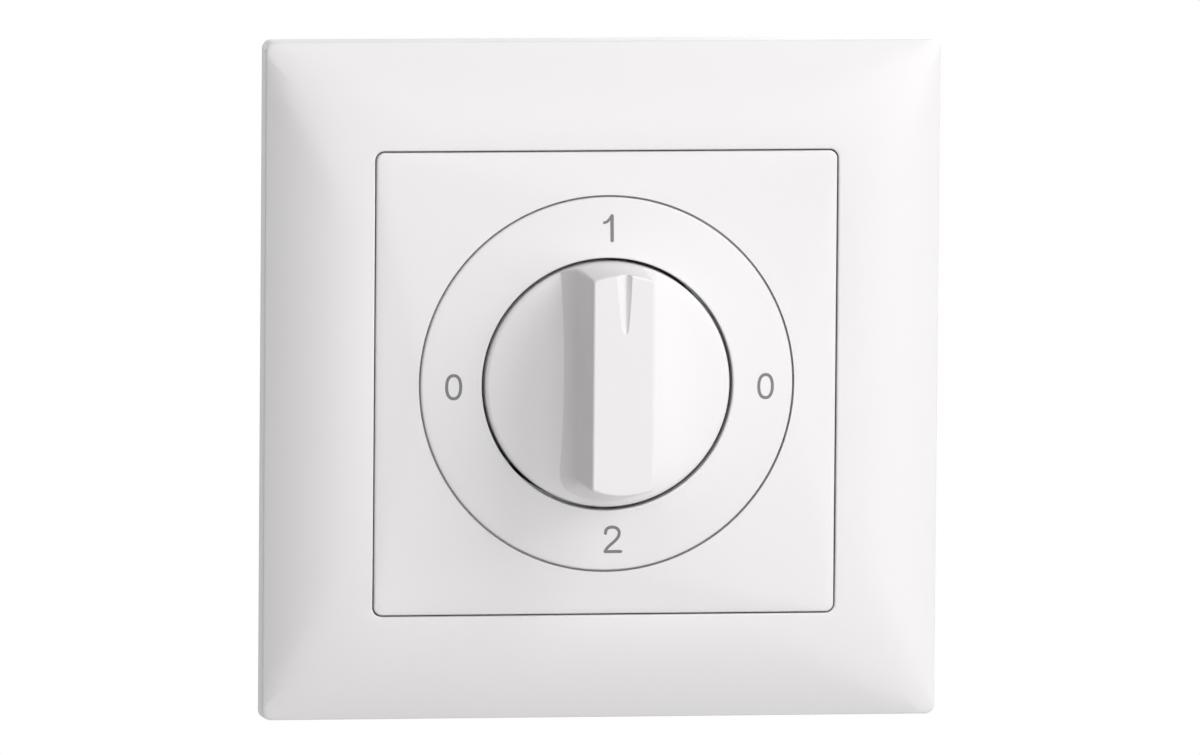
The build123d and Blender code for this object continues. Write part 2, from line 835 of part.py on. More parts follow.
# Common rail: it joins the feed terminals and carries both contact springs
strip_back = -strip_front - strip_width
rail_low = -contact_chamber_height / 2
rail_top = rail_low + strip_thickness
tab_inner = contact_spring_line + contact_spring_thickness / 2

with BuildPart() as common_rail:
    with BuildSketch(level(strip_back)):
        with Locations((0, rail_low + strip_thickness / 2)):
            Rectangle(contact_chamber_width, strip_thickness)
        for across in (-1, 1):
            with Locations(
                (across * (tab_inner + strip_thickness / 2), rail_top + rail_tab_height / 2)
            ):
                Rectangle(strip_thickness, rail_tab_height)
    extrude(amount=strip_width)
save(common_rail.part, "common_rail")

# How far the open contact's spring leans in, so that its follower rests on the cam's base
pivot_z = rail_top + rail_tab_height
nose_outer = follower_nose + contact_spring_thickness / 2
nose_x = contact_spring_line - cam_lobe_radius - cam_play - nose_outer
pivot_to_axis = hypot(contact_spring_line, pivot_z)
pivot_to_nose = hypot(nose_x, contact_spring_rise)
axis_to_nose = cam_base_radius + cam_play + nose_outer
between = acos(
    (pivot_to_axis**2 + pivot_to_nose**2 - axis_to_nose**2) / (2 * pivot_to_axis * pivot_to_nose)
)
open_lean = atan2(contact_spring_line, -pivot_z) - atan2(nose_x, contact_spring_rise) - between


def leaning(lean, inward, up):
    """A point given from the tab's top, turned by the spring's lean towards the axis."""
    x = contact_spring_line - inward * cos(lean) - up * sin(lean)
    return x, pivot_z + up * cos(lean) - inward * sin(lean)


# Contact springs: a follower nose on the cam's side and a silver tip on the other
follower_deep, follower_reach = nose_corner(nose_x + follower_nose, follower_nose, follower_flank)

for name, side, lean in (("one", -1, 0.0), ("two", 1, open_lean)):
    steps = [
        leaning(lean, 0, contact_spring_rise - follower_reach),
        leaning(lean, follower_deep, contact_spring_rise),
        leaning(lean, 0, contact_spring_rise + follower_reach),
        leaning(lean, 0, contact_spring_length),
    ]
    root = [(contact_spring_line, rail_top)]
    if lean:
        root.append((contact_spring_line, pivot_z))
    with BuildPart() as contact_spring:
        with BuildSketch(level(strip_back)):
            with BuildLine() as centre_line:
                FilletPolyline(*[(side * x, z) for x, z in root + steps], radius=follower_nose)
            trace(centre_line.line, contact_spring_thickness)
        extrude(amount=strip_width)
    save(contact_spring.part, f"contact_spring_{name}")
    tip_x, tip_z = leaning(lean, -contact_spring_thickness / 2, contact_tip_rise)
    tip_plane = Plane(
        origin=(side * tip_x, strip_front + strip_width / 2, tip_z),
        x_dir=(0, 1, 0),
        z_dir=(side * cos(lean), 0, sin(lean)),
    )
    with BuildPart() as moving_tip:
        with BuildSketch(tip_plane):
            Circle(contact_tip_radius)
        extrude(amount=moving_tip_length)
    save(moving_tip.part, f"moving_tip_{name}")

# Fixed contacts: a strip against the terminal block and a silver tip in the moving tip's path
tip_level = pivot_z + contact_tip_rise
fixed_inner = wall_x - strip_thickness
closed_face = contact_spring_line + contact_spring_thickness / 2 + moving_tip_length

for name, side in (("one", -1), ("two", 1)):
    with BuildPart() as fixed_contact:
        with BuildSketch(level(strip_back)):
            low = tip_level - contact_tip_radius - strip_thickness
            with Locations((side * (wall_x - strip_thickness / 2), (low - rail_low) / 2)):
                Rectangle(strip_thickness, -rail_low - low)
        extrude(amount=strip_width)
    save(fixed_contact.part, f"fixed_contact_{name}")
    with BuildPart() as fixed_tip:
        with BuildSketch(Plane.YZ.offset(side * fixed_inner)):
            with Locations((strip_front + strip_width / 2, tip_level)):
                Circle(contact_tip_radius)
        extrude(amount=-side * (fixed_inner - closed_face))
    save(fixed_tip.part, f"fixed_tip_{name}")
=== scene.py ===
import json
from math import asin, cos, pi, radians, sin, sqrt, tan

import bmesh
import bpy
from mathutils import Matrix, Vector


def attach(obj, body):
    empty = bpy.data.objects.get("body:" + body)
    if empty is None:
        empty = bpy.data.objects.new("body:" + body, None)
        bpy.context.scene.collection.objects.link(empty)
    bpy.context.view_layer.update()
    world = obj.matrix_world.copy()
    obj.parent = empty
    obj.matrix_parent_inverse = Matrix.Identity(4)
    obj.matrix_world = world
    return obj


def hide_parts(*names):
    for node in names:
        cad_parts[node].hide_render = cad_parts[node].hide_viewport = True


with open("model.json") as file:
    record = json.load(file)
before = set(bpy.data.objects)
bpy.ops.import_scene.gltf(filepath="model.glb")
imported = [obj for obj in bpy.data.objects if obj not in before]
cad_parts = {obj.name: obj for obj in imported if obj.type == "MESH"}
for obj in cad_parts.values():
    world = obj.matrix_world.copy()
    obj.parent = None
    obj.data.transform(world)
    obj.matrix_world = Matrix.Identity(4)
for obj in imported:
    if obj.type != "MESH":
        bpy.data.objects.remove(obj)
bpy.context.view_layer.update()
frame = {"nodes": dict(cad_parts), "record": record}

mm = 0.001


# Shader maths as expressions: a value wraps a socket, and its operators add nodes.
class Value:
    def __init__(self, tree, socket):
        self.tree = tree
        self.socket = socket

    def join(self, operation, other, swap=False):
        first, second = (other, self) if swap else (self, other)
        return addNode(self.tree, "ShaderNodeMath", {"operation": operation}, {0: first, 1: second})

    def __add__(self, other):
        return self.join("ADD", other)

    def __radd__(self, other):
        return self.join("ADD", other, True)

    def __sub__(self, other):
        return self.join("SUBTRACT", other)

    def __rsub__(self, other):
        return self.join("SUBTRACT", other, True)

    def __mul__(self, other):
        return self.join("MULTIPLY", other)

    def __rmul__(self, other):
        return self.join("MULTIPLY", other, True)


def addNode(tree, kind, settings, sockets, output=0):
    # one node: its settings first, then a value or a link for each of its sockets
    node = tree.nodes.new(kind)
    for key, value in settings.items():
        setattr(node, key, value)
    for key, value in sockets.items():
        if isinstance(value, Value):
            tree.links.new(value.socket, node.inputs[key])
        else:
            node.inputs[key].default_value = value
    return Value(tree, node.outputs[output])


class Finish:
    # one material with its shader
    def __init__(self, name, color, roughness, **fixed):
        self.material = bpy.data.materials.new(name)
        self.material.use_nodes = True
        self.tree = self.material.node_tree
        self.shader = self.tree.nodes["Principled BSDF"]
        self.shader.inputs["Base Color"].default_value = (*color, 1)
        self.shader.inputs["Roughness"].default_value = roughness
        for socket, value in fixed.items():
            self.shader.inputs[socket].default_value = value

    def place(self):
        return addNode(self.tree, "ShaderNodeTexCoord", {}, {}, "Object")

    def noise(self, place, scale, detail):
        sockets = {"Vector": place, "Scale": scale, "Detail": detail}
        return addNode(self.tree, "ShaderNodeTexNoise", {}, sockets)

    def feed(self, socket, value):
        self.tree.links.new(value.socket, self.shader.inputs[socket])

    def tint(self, factor, low, high):
        # sockets 6 and 7 of a Mix node are its two colours, and its third output is the mixed one
        sockets = {0: factor, 6: (*low, 1), 7: (*high, 1)}
        self.feed("Base Color", addNode(self.tree, "ShaderNodeMix", {"data_type": "RGBA"}, sockets, 2))

    def bump(self, height, strength, distance):
        sockets = {"Height": height, "Strength": strength, "Distance": distance}
        self.feed("Normal", addNode(self.tree, "ShaderNodeBump", {}, sockets))


# The noises' scales are per metre. What follows says how far they change tone, roughness and surface.
plastic = {
    "cloudScale": 55, "grainScale": 5200, "detail": 2, "darkest": 0.992,
    "glossier": 0.03, "cloudGloss": 0.05, "grainGloss": 0.02, "grainHeight": 0.02 * mm,
}


def mouldedPlastic(name, color, roughness, grain, **fixed):
    # satin moulded plastic: a fine eroded grain, and a faint unevenness of tone and gloss
    finish = Finish(name, color, roughness, **fixed)
    cloud = finish.noise(finish.place(), plastic["cloudScale"], plastic["detail"])
    fine = finish.noise(finish.place(), plastic["grainScale"], plastic["detail"])
    finish.tint(cloud, [part * plastic["darkest"] for part in color], color)
    evenly = roughness - plastic["glossier"]
    finish.feed("Roughness", evenly + cloud * plastic["cloudGloss"] + fine * plastic["grainGloss"])
    finish.bump(fine, grain, plastic["grainHeight"])
    return finish.material


metal = {
    "lineScale": 900, "cloudScale": 140, "detail": 3, "darkest": 0.9,
    "glossier": 0.06, "lineGloss": 0.08, "cloudGloss": 0.06, "lineStrength": 0.15, "lineHeight": 0.02 * mm,
    "drawnUp": (1.0, 1.0, 0.08), "drawnOut": (1.0, 0.08, 1.0), "undrawn": (1.0, 1.0, 1.0),
}


def workedMetal(name, color, roughness, along):
    # rolled or plated metal: fine drawn lines and a cloudy sheen
    finish = Finish(name, color, roughness, Metallic=1.0)
    sockets = {"Vector": finish.place(), "Scale": metal[along]}
    stretched = addNode(finish.tree, "ShaderNodeMapping", {}, sockets)
    lines = finish.noise(stretched, metal["lineScale"], metal["detail"])
    cloud = finish.noise(finish.place(), metal["cloudScale"], metal["detail"])
    finish.tint(cloud, [part * metal["darkest"] for part in color], color)
    evenly = roughness - metal["glossier"]
    finish.feed("Roughness", evenly + lines * metal["lineGloss"] + cloud * metal["cloudGloss"])
    finish.bump(lines, metal["lineStrength"], metal["lineHeight"])
    return finish.material


# Each slot of the nodes has its finish: a colour, a roughness, and a grain or the way the metal was drawn.
finishes = {
    "white_plastic": mouldedPlastic("whitePlastic", (0.836, 0.819, 0.828), 0.38, 0.10, IOR=1.5),
    "grey_thermoset": mouldedPlastic("greyThermoset", (0.30, 0.31, 0.32), 0.55, 0.25),
    "white_nylon": mouldedPlastic("whiteNylon", (0.72, 0.71, 0.67), 0.5, 0.15),
    "zinc_steel": workedMetal("zincSteel", (0.62, 0.63, 0.65), 0.36, "drawnUp"),
    "spring_steel": workedMetal("springSteel", (0.52, 0.52, 0.54), 0.28, "drawnOut"),
    "bronze": workedMetal("bronze", (0.66, 0.40, 0.22), 0.3, "drawnOut"),
    "brass": workedMetal("brass", (0.76, 0.58, 0.26), 0.3, "drawnOut"),
    "silver": workedMetal("silver", (0.86, 0.85, 0.82), 0.25, "undrawn"),
}
greyInk = mouldedPlastic("greyInk", (0.19, 0.187, 0.187), 0.5, 0.05)
print("materials made")


def paint(piece, material):
    piece.data.materials.clear()
    piece.data.materials.append(material)


slotOf = {part["node"]: part["material_slot"] for part in frame["record"]["subparts"]}
bodyOf = {node: body for body, nodes in frame["record"]["behaviour"]["bodies"].items() for node in nodes}
for node, piece in frame["nodes"].items():
    paint(piece, finishes[slotOf[node]])
print("nodes painted")


def pick(piece):
    # leaves one object selected and active
    bpy.ops.object.select_all(action="DESELECT")
    piece.select_set(True)
    bpy.context.view_layer.objects.active = piece


# How close points are merged, and the angle in degrees up to which faces are shaded as one
joining = {"loop": 0.0005 * mm, "piece": 0.001 * mm, "smoothAngle": 35}


def mergeDoubles(distance):
    bpy.ops.mesh.select_all(action="SELECT")
    bpy.ops.mesh.remove_doubles(threshold=distance)


def faceOutwards():
    bpy.ops.mesh.select_all(action="SELECT")
    bpy.ops.mesh.normals_make_consistent(inside=False)


def smoothAndPlace(piece, node, angle):
    # smooths a finished piece and lets it stand for its node
    pick(piece)
    bpy.ops.object.shade_smooth_by_angle(angle=radians(angle))
    weighted = piece.modifiers.new("weighted", "WEIGHTED_NORMAL")
    weighted.keep_sharp = True
    bpy.ops.object.modifier_apply(modifier=weighted.name)
    paint(piece, finishes[slotOf[node]])
    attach(piece, bodyOf[node])
    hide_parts(node)


def closeAndFinish(piece, node):
    # merges doubles, turns the faces outwards and smooths the piece
    mergeDoubles(joining["piece"])
    faceOutwards()
    bpy.ops.object.mode_set(mode="OBJECT")
    smoothAndPlace(piece, node, joining["smoothAngle"])


# Three pieces of the insert get rounded edges. Angles in degrees.
softEdges = {
    "widths": {"rear_housing": 0.25 * mm, "front_housing": 0.2 * mm, "mounting_plate": 0.15 * mm},
    "segments": 2, "flatAngle": 0.2, "edgeAngle": 40,
}


def softenEdges(node, width):
    # a merged copy of a node's mesh, its flat faces made whole and its edges rounded
    pick(frame["nodes"][node])
    bpy.ops.object.duplicate()
    piece = bpy.context.object
    piece.name = piece.data.name = node + "Soft"
    bpy.ops.object.mode_set(mode="EDIT")
    mergeDoubles(joining["piece"])
    bpy.ops.mesh.dissolve_limited(angle_limit=radians(softEdges["flatAngle"]))
    bpy.ops.object.mode_set(mode="OBJECT")
    rounding = piece.modifiers.new("rounding", "BEVEL")
    rounding.limit_method = "ANGLE"
    rounding.angle_limit = radians(softEdges["edgeAngle"])
    rounding.width = width
    rounding.segments = softEdges["segments"]
    bpy.ops.object.modifier_apply(modifier=rounding.name)
    smoothAndPlace(piece, node, joining["smoothAngle"])


for node, width in softEdges["widths"].items():
    softenEdges(node, width)
print("housings and plate softened")

# The front of the switch is modelled here, from the same sizes as the solids. Sizes in metres,
# angles in degrees. These are the sizes by which the frame, plate, ring and disc fit each other.
face = {
    "frameSide": 88.0 * mm, "frameEdge": 3.3 * mm, "frameCrown": 7.35 * mm,
    "frameCorner": 1.15 * mm, "frameSoftCorner": 14.0 * mm, "frameWall": 2.0 * mm,
    "edgeRound": 0.45 * mm, "mouthRound": 0.22 * mm, "draft": 2.0,
    "plateSide": 60.0 * mm, "plateGap": 0.2 * mm, "plateCorner": 1.05 * mm,
    "plateEdge": 7.3 * mm, "plateRound": 0.3 * mm, "plateWall": 2.0 * mm, "plateSkirt": 1.5 * mm,
    "ledgeTop": 2.7 * mm, "ledgeReach": 1.8 * mm, "collarWall": 1.6 * mm, "backPlate": 1.2 * mm,
    "domeRadius": 207.0 * mm, "domeTop": 9.6 * mm,
    "ringRadius": 24.3 * mm, "ringGap": 0.12 * mm, "ringRound": 0.25 * mm, "ringWall": 1.6 * mm,
    "discRadius": 16.0 * mm, "discGap": 0.33 * mm, "discRound": 0.5 * mm, "ringLand": 0.6 * mm,
    # how far an edge stands back at its joint, as moulded edges do
    "discEase": 0.06 * mm, "ringEase": 0.075 * mm,
    # the powers by which the corners grow rounder inwards, and how far the plate's stay from a full circle
    "framePower": 0.65, "platePower": 0.8, "cornerSpare": 0.2 * mm,
}
turnSteps = 192
halvings = 40


def domeHeight(radius):
    return face["domeTop"] - face["domeRadius"] + sqrt(face["domeRadius"] ** 2 - radius ** 2)


def beyondContour(x, z, side, corner):
    # how far a point lies outside a square with round corners
    core = side / 2 - corner
    outX, outZ = abs(x) - core, abs(z) - core
    if outX > 0 and outZ > 0:
        return sqrt(outX ** 2 + outZ ** 2) - corner
    return max(outX, outZ) - corner


def lastInside(inside, low, high):
    # halves a span down to the last value that is still inside
    for _ in range(halvings):
        middle = (low + high) / 2
        if inside(middle):
            low = middle
        else:
            high = middle
    return low


def shareAt(x, z, contour):
    # the share between the outer contour and the inner one that passes through a point
    return lastInside(lambda share: beyondContour(x, z, *contour(share)) < 0, 0.0, 1.0)


openingSide = face["plateSide"] + 2 * face["plateGap"]
bandWidth = (face["frameSide"] - openingSide) / 2
crownDrop = face["frameCrown"] - face["frameEdge"]
crownRadius = (bandWidth ** 2 + crownDrop ** 2) / (2 * crownDrop)
edgeSlope = asin(bandWidth / crownRadius)
draft = radians(face["draft"])
edgeTurn = pi / 2 - edgeSlope - draft
edgeTangent = face["edgeRound"] * tan(edgeTurn / 2)
rimShare = edgeTangent * cos(edgeSlope) / bandWidth
wallTop = face["frameEdge"] - edgeTangent * cos(draft)
wallTopSide = face["frameSide"] + 2 * edgeTangent * sin(draft)
cavitySide = face["frameSide"] - 2 * face["frameWall"]


def crownHeight(out):
    # the frame's front at a distance from its opening
    return face["frameCrown"] - crownRadius + sqrt(crownRadius ** 2 - out ** 2)


def frameContour(share):
    growth = (face["frameSoftCorner"] - face["frameCorner"]) * share ** face["framePower"]
    return face["frameSide"] - 2 * bandWidth * share, face["frameCorner"] + growth


def frameHeight(x, z):
    return crownHeight(bandWidth * (1 - shareAt(x, z, frameContour)))


def cavityContour(share):
    return cavitySide - 2 * (bandWidth - face["frameWall"]) * share, frameContour(share)[1]


def cavityHeight(x, z):
    share = max(rimShare, shareAt(x, z, cavityContour))
    return crownHeight(bandWidth * (1 - share)) - face["frameWall"]


plateBand = face["plateSide"] / 2 - face["ringRadius"]
plateRise = domeHeight(face["ringRadius"]) - face["plateEdge"]


def plateContour(share):
    side = face["plateSide"] - 2 * plateBand * share
    growth = (face["ringRadius"] - face["plateCorner"]) * share ** face["platePower"]
    return side, min(face["plateCorner"] + growth, side / 2 - face["cornerSpare"])


def plateHeight(x, z):
    return face["plateEdge"] + plateRise * shareAt(x, z, plateContour)


def selectEdges(piece, wanted):
    bpy.ops.mesh.select_all(action="DESELECT")
    bpy.ops.mesh.select_mode(type="EDGE")
    mesh = bmesh.from_edit_mesh(piece.data)
    for edge in mesh.edges:
        if wanted(edge):
            edge.select_set(True)
    bmesh.update_edit_mesh(piece.data)


def startOutline(name, side, corner, height, segments, cuts):
    # a plane with round corners, cut along its sides and left as one loop of edges
    bpy.ops.object.select_all(action="DESELECT")
    bpy.ops.mesh.primitive_plane_add(size=side, location=(0, -height, 0), rotation=(pi / 2, 0, 0))
    piece = bpy.context.object
    piece.name = piece.data.name = name
    bpy.ops.object.transform_apply(location=True, rotation=True, scale=True)
    bpy.ops.object.mode_set(mode="EDIT")
    bpy.ops.mesh.select_all(action="SELECT")
    bpy.ops.mesh.bevel(offset=corner, segments=segments, profile=0.5, affect="VERTICES")
    bpy.ops.mesh.select_all(action="SELECT")
    bpy.ops.mesh.delete(type="ONLY_FACE")
    selectEdges(piece, lambda edge: edge.calc_length() > side / 2)
    bpy.ops.mesh.subdivide(number_cuts=cuts)
    bpy.ops.mesh.select_all(action="SELECT")
    return piece


def shapeSelected(piece, move):
    mesh = bmesh.from_edit_mesh(piece.data)
    for vertex in mesh.verts:
        if vertex.select:
            vertex.co = move(vertex.co)
    bmesh.update_edit_mesh(piece.data)


def extendLoop(piece, move):
    # the open loop is extruded and its new edges are set in place
    bpy.ops.mesh.extrude_edges_indiv()
    shapeSelected(piece, move)


def contourMove(old, new, height):
    # carries a loop from one round-cornered square to another
    oldCore, newCore = old[0] / 2 - old[1], new[0] / 2 - new[1]

    def along(value):
        out = abs(value)
        if out > oldCore:
            out = newCore + (out - oldCore) * new[1] / old[1]
        else:
            out = out * newCore / oldCore
        return out if value > 0 else -out

    def move(point):
        x, z = along(point.x), along(point.z)
        return Vector((x, -(height(x, z) if callable(height) else height), z))
    return move


def follow(old, new):
    # moves each point of one outline to its place in the next
    pairs = [(Vector(start), Vector(end)) for start, end in zip(old, new)]
    return lambda point: min(pairs, key=lambda pair: (pair[0] - point).length)[1]


# How finely the frame is divided, and how its front's steps crowd outwards
frameSteps = {
    "corner": 10, "side": 36, "edge": 4, "front": 18, "back": 6,
    "crowding": 1.1, "mouthTurns": (25, 50, 70, 90),
}


def edgeStations(rim):
    # the rounded edge between the outer wall and the crowned front
    stations = []
    for step in range(1, frameSteps["edge"] + 1):
        part = step / frameSteps["edge"]
        turned = edgeTurn * part
        chord = 2 * face["edgeRound"] * sin(turned / 2)
        side = wallTopSide - 2 * chord * sin(draft + turned / 2)
        corner = face["frameCorner"] + (rim[1] - face["frameCorner"]) * part
        stations.append(((side, corner), wallTop + chord * cos(draft + turned / 2)))
    return stations


def frontStations(rim, mouthCorner):
    # the front from its edge to the opening, and the rounded mouth of the opening
    stations = []
    innerSide = openingSide + 2 * face["mouthRound"]
    innerCorner = mouthCorner + face["mouthRound"]
    for step in range(1, frameSteps["front"] + 1):
        part = (step / frameSteps["front"]) ** frameSteps["crowding"]
        side = rim[0] + (innerSide - rim[0]) * part
        stations.append(((side, rim[1] + (innerCorner - rim[1]) * part), frameHeight))
    for turn in frameSteps["mouthTurns"]:
        inward = face["mouthRound"] * (1 - sin(radians(turn)))

        def lowered(x, z, drop=face["mouthRound"] * (1 - cos(radians(turn)))):
            return frameHeight(x, z) - drop
        stations.append(((openingSide + 2 * inward, mouthCorner + inward), lowered))
    return stations


def backStations(mouthCorner):
    # the ledge that carries the plate, the collar behind it and the hollow back
    ledge = openingSide - 2 * face["ledgeReach"]
    collar = openingSide + 2 * face["collarWall"]
    collarCorner = mouthCorner + face["collarWall"]
    stations = [
        ((openingSide, mouthCorner), face["ledgeTop"]),
        ((ledge, face["plateCorner"]), face["ledgeTop"]),
        ((ledge, face["plateCorner"]), face["backPlate"]),
        ((collar, collarCorner), face["backPlate"]),
    ]
    for step in range(frameSteps["back"] + 1):
        part = step / frameSteps["back"]
        side = collar + (cavitySide - collar) * part
        corner = collarCorner + (face["frameCorner"] - collarCorner) * part
        stations.append(((side, corner), cavityHeight))
    return stations + [((cavitySide, face["frameCorner"]), 0.0)]


def makeFrame():
    # one closed skin, extended from the wall's foot over the front and back to the foot
    rim = frameContour(rimShare)
    mouthCorner = face["plateCorner"] + face["plateGap"]
    foot = (wallTopSide + 2 * wallTop * tan(draft), face["frameCorner"])
    stations = [((wallTopSide, face["frameCorner"]), wallTop)] + edgeStations(rim)
    stations += frontStations(rim, mouthCorner) + backStations(mouthCorner) + [(foot, 0.0)]
    piece = startOutline("frameCover", *foot, 0.0, frameSteps["corner"], frameSteps["side"])
    last = foot
    for contour, height in stations:
        extendLoop(piece, contourMove(last, contour, height))
        last = contour
    closeAndFinish(piece, "cover_frame")


makeFrame()
print("frame modelled")

# The snap legs that hook behind the mounting plate: a block with a barb that runs into it
leg = {
    "inner": 24.3 * mm, "wall": 1.3 * mm, "width": 5.0 * mm, "spacing": 16.0 * mm,
    "barb": 0.6 * mm, "lead": 2.0 * mm, "root": 0.3 * mm, "overlap": 0.2 * mm,
    "barbNarrower": 0.02 * mm, "tipShorter": 0.02 * mm, "tipInside": 0.05 * mm,
}


def addLeg(piece, side, rise, top):
    outer = leg["inner"] + leg["wall"]
    bpy.ops.mesh.select_all(action="DESELECT")
    bpy.ops.mesh.primitive_cube_add(
        size=1, scale=(leg["wall"], top + leg["root"] + leg["lead"], leg["width"]),
        location=(side * (leg["inner"] + leg["wall"] / 2), (leg["lead"] - top - leg["root"]) / 2, rise))
    bpy.ops.mesh.select_all(action="DESELECT")
    across = side * (outer + (leg["barb"] - leg["overlap"]) / 2)
    bpy.ops.mesh.primitive_cube_add(
        size=1, location=(across, leg["lead"] / 2, rise),
        scale=(leg["barb"] + leg["overlap"], leg["lead"], leg["width"] - leg["barbNarrower"]))

    def drawBack(point):
        # the barb's far edge is drawn back into the leg, which leaves a slope
        if point.y > leg["lead"] / 2 and abs(point.x) > outer:
            return Vector((side * (outer - leg["tipInside"]), point.y - leg["tipShorter"], point.z))
        return point
    shapeSelected(piece, drawBack)


# How finely the plate is divided, and within which shares of a point's distance its side wall lies
plateSteps = {
    "corner": 8, "side": 40, "front": 16, "back": 4, "edgeTurns": (0, 20, 40, 60, 80),
    "wallShares": (0.2, 3.0), "merge": 0.004 * mm,
}


def ontoContour(point, side, corner):
    # where a ray from the axis through a point meets a round-cornered square
    def inside(share):
        return beyondContour(point.x * share, point.z * share, side, corner) < 0
    return lastInside(inside, *plateSteps["wallShares"])


def makePlate():
    # square at its edge and round at the recess of the scale ring
    side, corner, softness = face["plateSide"], face["plateCorner"], face["plateRound"]
    skirtSide = side - 2 * face["plateSkirt"]
    recess = face["ringRadius"] + face["ringGap"] + face["ringEase"]
    ringBottom = domeHeight(face["ringRadius"]) - face["ringWall"]
    hole = face["discRadius"] + face["discGap"] + face["ringLand"]
    bottom = face["plateEdge"] - face["plateWall"]
    last = (side, corner)
    piece = startOutline("plateCover", *last, face["ledgeTop"], plateSteps["corner"], plateSteps["side"])
    for turn in plateSteps["edgeTurns"]:
        inward = softness * (1 - cos(radians(turn)))
        contour = (side - 2 * inward, corner - inward)
        height = face["plateEdge"] - softness * (1 - sin(radians(turn)))
        extendLoop(piece, contourMove(last, contour, height))
        last = contour
    for left in range(plateSteps["front"], 0, -1):
        def towardsRecess(point, left=left):
            away = sqrt(point.x ** 2 + point.z ** 2)
            scale = (away + (recess - away) / left) / away
            x, z = point.x * scale, point.z * scale
            return Vector((x, -plateHeight(x, z), z))
        extendLoop(piece, towardsRecess)
    extendLoop(piece, lambda point: Vector((point.x, -ringBottom, point.z)))
    extendLoop(piece, lambda point: Vector((point.x * hole / recess, -ringBottom, point.z * hole / recess)))
    extendLoop(piece, lambda point: Vector((point.x, -bottom, point.z)))
    for left in range(plateSteps["back"], 0, -1):
        def towardsSkirt(point, left=left):
            outer = ontoContour(point, side, corner) * skirtSide / side
            scale = 1 + (outer - 1) / left
            return Vector((point.x * scale, -bottom, point.z * scale))
        extendLoop(piece, towardsSkirt)
    # the skirt's foot runs out to the side wall's foot, and meets it there without being merged
    extendLoop(piece, lambda point: Vector((point.x, -face["ledgeTop"], point.z)))
    opened = side / skirtSide
    extendLoop(piece, lambda point: Vector((point.x * opened, point.y, point.z * opened)))
    mergeDoubles(plateSteps["merge"])
    for across in (-1, 1):
        for rise in (-leg["spacing"] / 2, leg["spacing"] / 2):
            addLeg(piece, across, rise, bottom)
    closeAndFinish(piece, "centre_plate")


makePlate()
print("plate modelled")


def drawLine(name, points):
    # a plane is merged to one vertex, which is then extruded from point to point
    bpy.ops.object.select_all(action="DESELECT")
    bpy.ops.mesh.primitive_plane_add(size=mm, location=(0, 0, 0))
    piece = bpy.context.object
    piece.name = piece.data.name = name
    bpy.ops.object.mode_set(mode="EDIT")
    bpy.ops.mesh.select_mode(type="VERT")
    bpy.ops.mesh.select_all(action="SELECT")
    bpy.ops.mesh.merge(type="CENTER")
    bpy.ops.mesh.select_all(action="SELECT")
    bpy.ops.transform.translate(value=points[0])
    for start, end in zip(points, points[1:]):
        step = Vector(end) - Vector(start)
        bpy.ops.mesh.extrude_vertices_move(TRANSFORM_OT_translate={"value": step})
    return piece


def drawLoop(name, outline):
    piece = drawLine(name, outline + outline[:1])
    mergeDoubles(joining["loop"])
    return piece


def loft(name, sections):
    # a closed body through several outlines, of which the first and the last are filled
    piece = drawLoop(name, sections[0])
    bpy.ops.mesh.edge_face_add()
    bpy.ops.mesh.select_all(action="SELECT")
    bpy.ops.mesh.region_to_loop()
    for last, current in zip(sections, sections[1:]):
        extendLoop(piece, follow(last, current))
    bpy.ops.mesh.edge_face_add()
    faceOutwards()
    return piece


def spinLine(piece):
    bpy.ops.mesh.select_all(action="SELECT")
    bpy.ops.mesh.spin(steps=turnSteps, angle=2 * pi, center=(0, 0, 0), axis=(0, 1, 0))


# How many steps the round pieces' profiles have
profileSteps = {"ring": 10, "disc": 16, "rim": 6}


def domePoints(start, end, count):
    radii = [start + (end - start) * step / count for step in range(count + 1)]
    return [(radius, -domeHeight(radius), 0) for radius in radii]


def roundedRim(radius, softness, outward):
    # a quarter round at a rim, from the dome's edge to the wall
    points = []
    for step in range(1, profileSteps["rim"] + 1):
        turned = pi / 2 * step / profileSteps["rim"]
        across = radius - outward * softness * (1 - sin(turned))
        points.append((across, softness * (1 - cos(turned)) - domeHeight(radius), 0))
    return points


def makeRing():
    inner = face["discRadius"] + face["discGap"] + face["discEase"]
    outer = face["ringRadius"] - face["ringEase"]
    softness = face["ringRound"]
    bottom = domeHeight(face["ringRadius"]) - face["ringWall"]
    points = [(inner, -bottom, 0)] + roundedRim(inner, softness, -1)[::-1]
    points += domePoints(inner + softness, outer - softness, profileSteps["ring"])
    points += roundedRim(outer, softness, 1) + [(outer, -bottom, 0), (inner, -bottom, 0)]
    piece = drawLine("scaleRing", points)
    spinLine(piece)
    closeAndFinish(piece, "scale_ring")


makeRing()
print("ring modelled")

knob = {
    "discWall": 1.6 * mm, "discDepth": 3.4 * mm, "skirt": 1.5 * mm, "smoothAngle": 28,
    "barWidth": 8.05 * mm, "pointer": 15.7 * mm, "tail": 12.95 * mm, "endRadius": 10.6 * mm,
    "top": 23.45 * mm, "draft": 1.8, "corner": 0.5 * mm, "endSteps": 4, "cornerSteps": 5,
    # the bar's top edges are those within a depth of its top that bend by more than an angle
    "softness": 0.35 * mm, "softSteps": 4, "softAngle": 30, "softDepth": 1.0 * mm,
    # the foot flares by an arc, sinks into the disc, and is trimmed to its rim between two heights
    "flare": 4.8 * mm, "flareTurns": (0, 8, 16, 24, 32, 41, 50), "sink": 0.5 * mm,
    "rimSpare": 0.06 * mm, "rimFrom": 6.0 * mm, "rimTo": 30.0 * mm,
}


